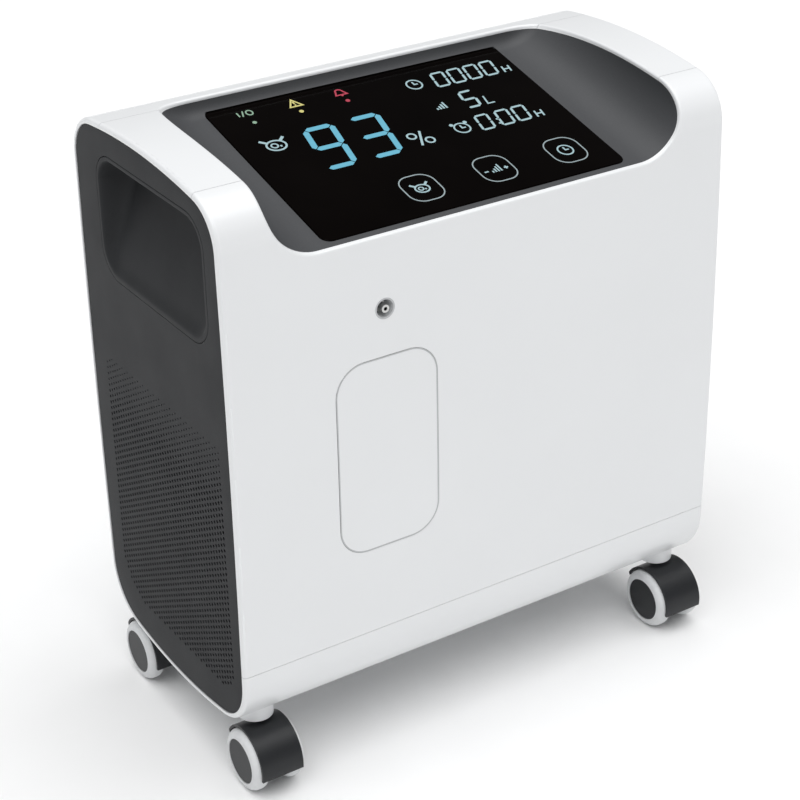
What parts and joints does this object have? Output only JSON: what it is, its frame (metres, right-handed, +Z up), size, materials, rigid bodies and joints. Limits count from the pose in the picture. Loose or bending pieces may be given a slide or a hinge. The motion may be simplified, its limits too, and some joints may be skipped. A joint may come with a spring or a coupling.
{
  "type": "oxygen concentrator",
  "caption": "Home oxygen concentrator: white moulded case with dark perforated ends, grip pockets, a sloping display tray, a front filter cover and twin-wheel casters.",
  "frame": {"origin": "on the floor under the middle of the overall box", "axes": "+Z up, front face with the filter cover towards -Y, display readable from -Y, +X to the right seen from the front"},
  "size_m": [0.43, 0.2388, 0.4865],
  "materials": {
    "white_shell": "satin moulded ABS",
    "dark_panel": "fine-textured ABS",
    "tray_grey": "satin moulded ABS",
    "black_glass": "polished acrylic window, printed behind",
    "circuit_board": "solder mask",
    "filter_foam": "open-cell filter foam",
    "inner_plastic": "plain moulding",
    "outlet_grey": "satin",
    "outlet_metal": "turned, nickel plated",
    "black_fitting": "moulded",
    "button_red": "moulded",
    "wheel_tread": "light grey polyurethane",
    "caster_dark": "satin nylon",
    "steel": "zinc plated",
    "rubber_black": "moulded",
    "cast_aluminium": "as cast",
    "hose_clear": "silicone tube"
  },
  "bodies": {
    "body": {"base_shell": "white_shell", "caster_stems": "steel", "chassis_plate": "steel", "compressor": "cast_aluminium", "compressor_mounts": "rubber_black", "control_board": "circuit_board", "display_board": "circuit_board", "display_glass": "black_glass", "display_tray": "tray_grey", "ear_cap_left": "white_shell", "ear_cap_right": "white_shell", "fan_frame": "black_fitting", "filter_housing": "inner_plastic", "front_shell": "white_shell", "gas_lines": "hose_clear", "grip_cup_left": "dark_panel", "grip_cup_right": "dark_panel", "outlet_nozzle": "outlet_metal", "outlet_ring": "outlet_grey", "oxygen_tank": "cast_aluminium", "power_inlet": "black_fitting", "power_supply": "steel", "rear_shell": "white_shell", "reset_breaker": "black_fitting", "shell_screws": "steel", "side_panel_left": "dark_panel", "side_panel_right": "dark_panel", "sieve_beds": "cast_aluminium", "valve_manifold": "cast_aluminium", "vent_grille_left": "dark_panel", "vent_grille_right": "dark_panel"},
    "caster_front_left": {"caster_front_left_hood": "caster_dark", "caster_front_left_axle": "steel"},
    "caster_front_left_wheel_left": {"caster_front_left_wheel_left": "wheel_tread", "caster_front_left_cap_left": "caster_dark"},
    "caster_front_left_wheel_right": {"caster_front_left_wheel_right": "wheel_tread", "caster_front_left_cap_right": "caster_dark"},
    "caster_front_right": {"caster_front_right_hood": "caster_dark", "caster_front_right_axle": "steel"},
    "caster_front_right_wheel_left": {"caster_front_right_wheel_left": "wheel_tread", "caster_front_right_cap_left": "caster_dark"},
    "caster_front_right_wheel_right": {"caster_front_right_wheel_right": "wheel_tread", "caster_front_right_cap_right": "caster_dark"},
    "caster_rear_left": {"caster_rear_left_hood": "caster_dark", "caster_rear_left_axle": "steel"},
    "caster_rear_left_wheel_left": {"caster_rear_left_wheel_left": "wheel_tread", "caster_rear_left_cap_left": "caster_dark"},
    "caster_rear_left_wheel_right": {"caster_rear_left_wheel_right": "wheel_tread", "caster_rear_left_cap_right": "caster_dark"},
    "caster_rear_right": {"caster_rear_right_hood": "caster_dark", "caster_rear_right_axle": "steel"},
    "caster_rear_right_wheel_left": {"caster_rear_right_wheel_left": "wheel_tread", "caster_rear_right_cap_left": "caster_dark"},
    "caster_rear_right_wheel_right": {"caster_rear_right_wheel_right": "wheel_tread", "caster_rear_right_cap_right": "caster_dark"},
    "filter_cover": {"filter_cover": "white_shell", "intake_filter": "filter_foam"},
    "power_switch": {"power_switch": "black_fitting"},
    "reset_button": {"reset_button": "button_red"},
    "fan_rotor": {"fan_rotor": "black_fitting"}
  },
  "joints": [
    {"name": "caster_front_left_swivel", "type": "hinge", "parent": "body", "child": "caster_front_left", "pos_m": [-0.1918, -0.0799, 0.05], "axis": [0, 0, 1], "continuous": true},
    {"name": "caster_front_left_wheel_left_roll", "type": "hinge", "parent": "caster_front_left", "child": "caster_front_left_wheel_left", "pos_m": [-0.1918, -0.0919, 0.0245], "axis": [1, 0, 0], "continuous": true},
    {"name": "caster_front_left_wheel_right_roll", "type": "hinge", "parent": "caster_front_left", "child": "caster_front_left_wheel_right", "pos_m": [-0.1918, -0.0919, 0.0245], "axis": [1, 0, 0], "continuous": true},
    {"name": "caster_front_right_swivel", "type": "hinge", "parent": "body", "child": "caster_front_right", "pos_m": [0.1918, -0.0799, 0.05], "axis": [0, 0, 1], "continuous": true},
    {"name": "caster_front_right_wheel_left_roll", "type": "hinge", "parent": "caster_front_right", "child": "caster_front_right_wheel_left", "pos_m": [0.1918, -0.0919, 0.0245], "axis": [1, 0, 0], "continuous": true},
    {"name": "caster_front_right_wheel_right_roll", "type": "hinge", "parent": "caster_front_right", "child": "caster_front_right_wheel_right", "pos_m": [0.1918, -0.0919, 0.0245], "axis": [1, 0, 0], "continuous": true},
    {"name": "caster_rear_left_swivel", "type": "hinge", "parent": "body", "child": "caster_rear_left", "pos_m": [-0.1918, 0.092, 0.05], "axis": [0, 0, 1], "continuous": true},
    {"name": "caster_rear_left_wheel_left_roll", "type": "hinge", "parent": "caster_rear_left", "child": "caster_rear_left_wheel_left", "pos_m": [-0.1918, 0.08, 0.0245], "axis": [1, 0, 0], "continuous": true},
    {"name": "caster_rear_left_wheel_right_roll", "type": "hinge", "parent": "caster_rear_left", "child": "caster_rear_left_wheel_right", "pos_m": [-0.1918, 0.08, 0.0245], "axis": [1, 0, 0], "continuous": true},
    {"name": "caster_rear_right_swivel", "type": "hinge", "parent": "body", "child": "caster_rear_right", "pos_m": [0.1918, 0.092, 0.05], "axis": [0, 0, 1], "continuous": true},
    {"name": "caster_rear_right_wheel_left_roll", "type": "hinge", "parent": "caster_rear_right", "child": "caster_rear_right_wheel_left", "pos_m": [0.1918, 0.08, 0.0245], "axis": [1, 0, 0], "continuous": true},
    {"name": "caster_rear_right_wheel_right_roll", "type": "hinge", "parent": "caster_rear_right", "child": "caster_rear_right_wheel_right", "pos_m": [0.1918, 0.08, 0.0245], "axis": [1, 0, 0], "continuous": true},
    {"name": "filter_cover_pull", "type": "slide", "parent": "body", "child": "filter_cover", "axis": [0, -1, 0], "range_m": [0, 0.06]},
    {"name": "power_switch_rock", "type": "hinge", "parent": "body", "child": "power_switch", "pos_m": [0.15, 0.11212, 0.187], "axis": [-1, 0, 0], "range_deg": [0, 20]},
    {"name": "reset_button_press", "type": "slide", "parent": "body", "child": "reset_button", "axis": [0, -1, 0], "range_m": [0, 0.003], "stiffness_N_per_m": 400},
    {"name": "fan_rotor_spin", "type": "hinge", "parent": "body", "child": "fan_rotor", "pos_m": [-0.15, 0, 0.148], "axis": [1, 0, 0], "continuous": true}
  ]
}
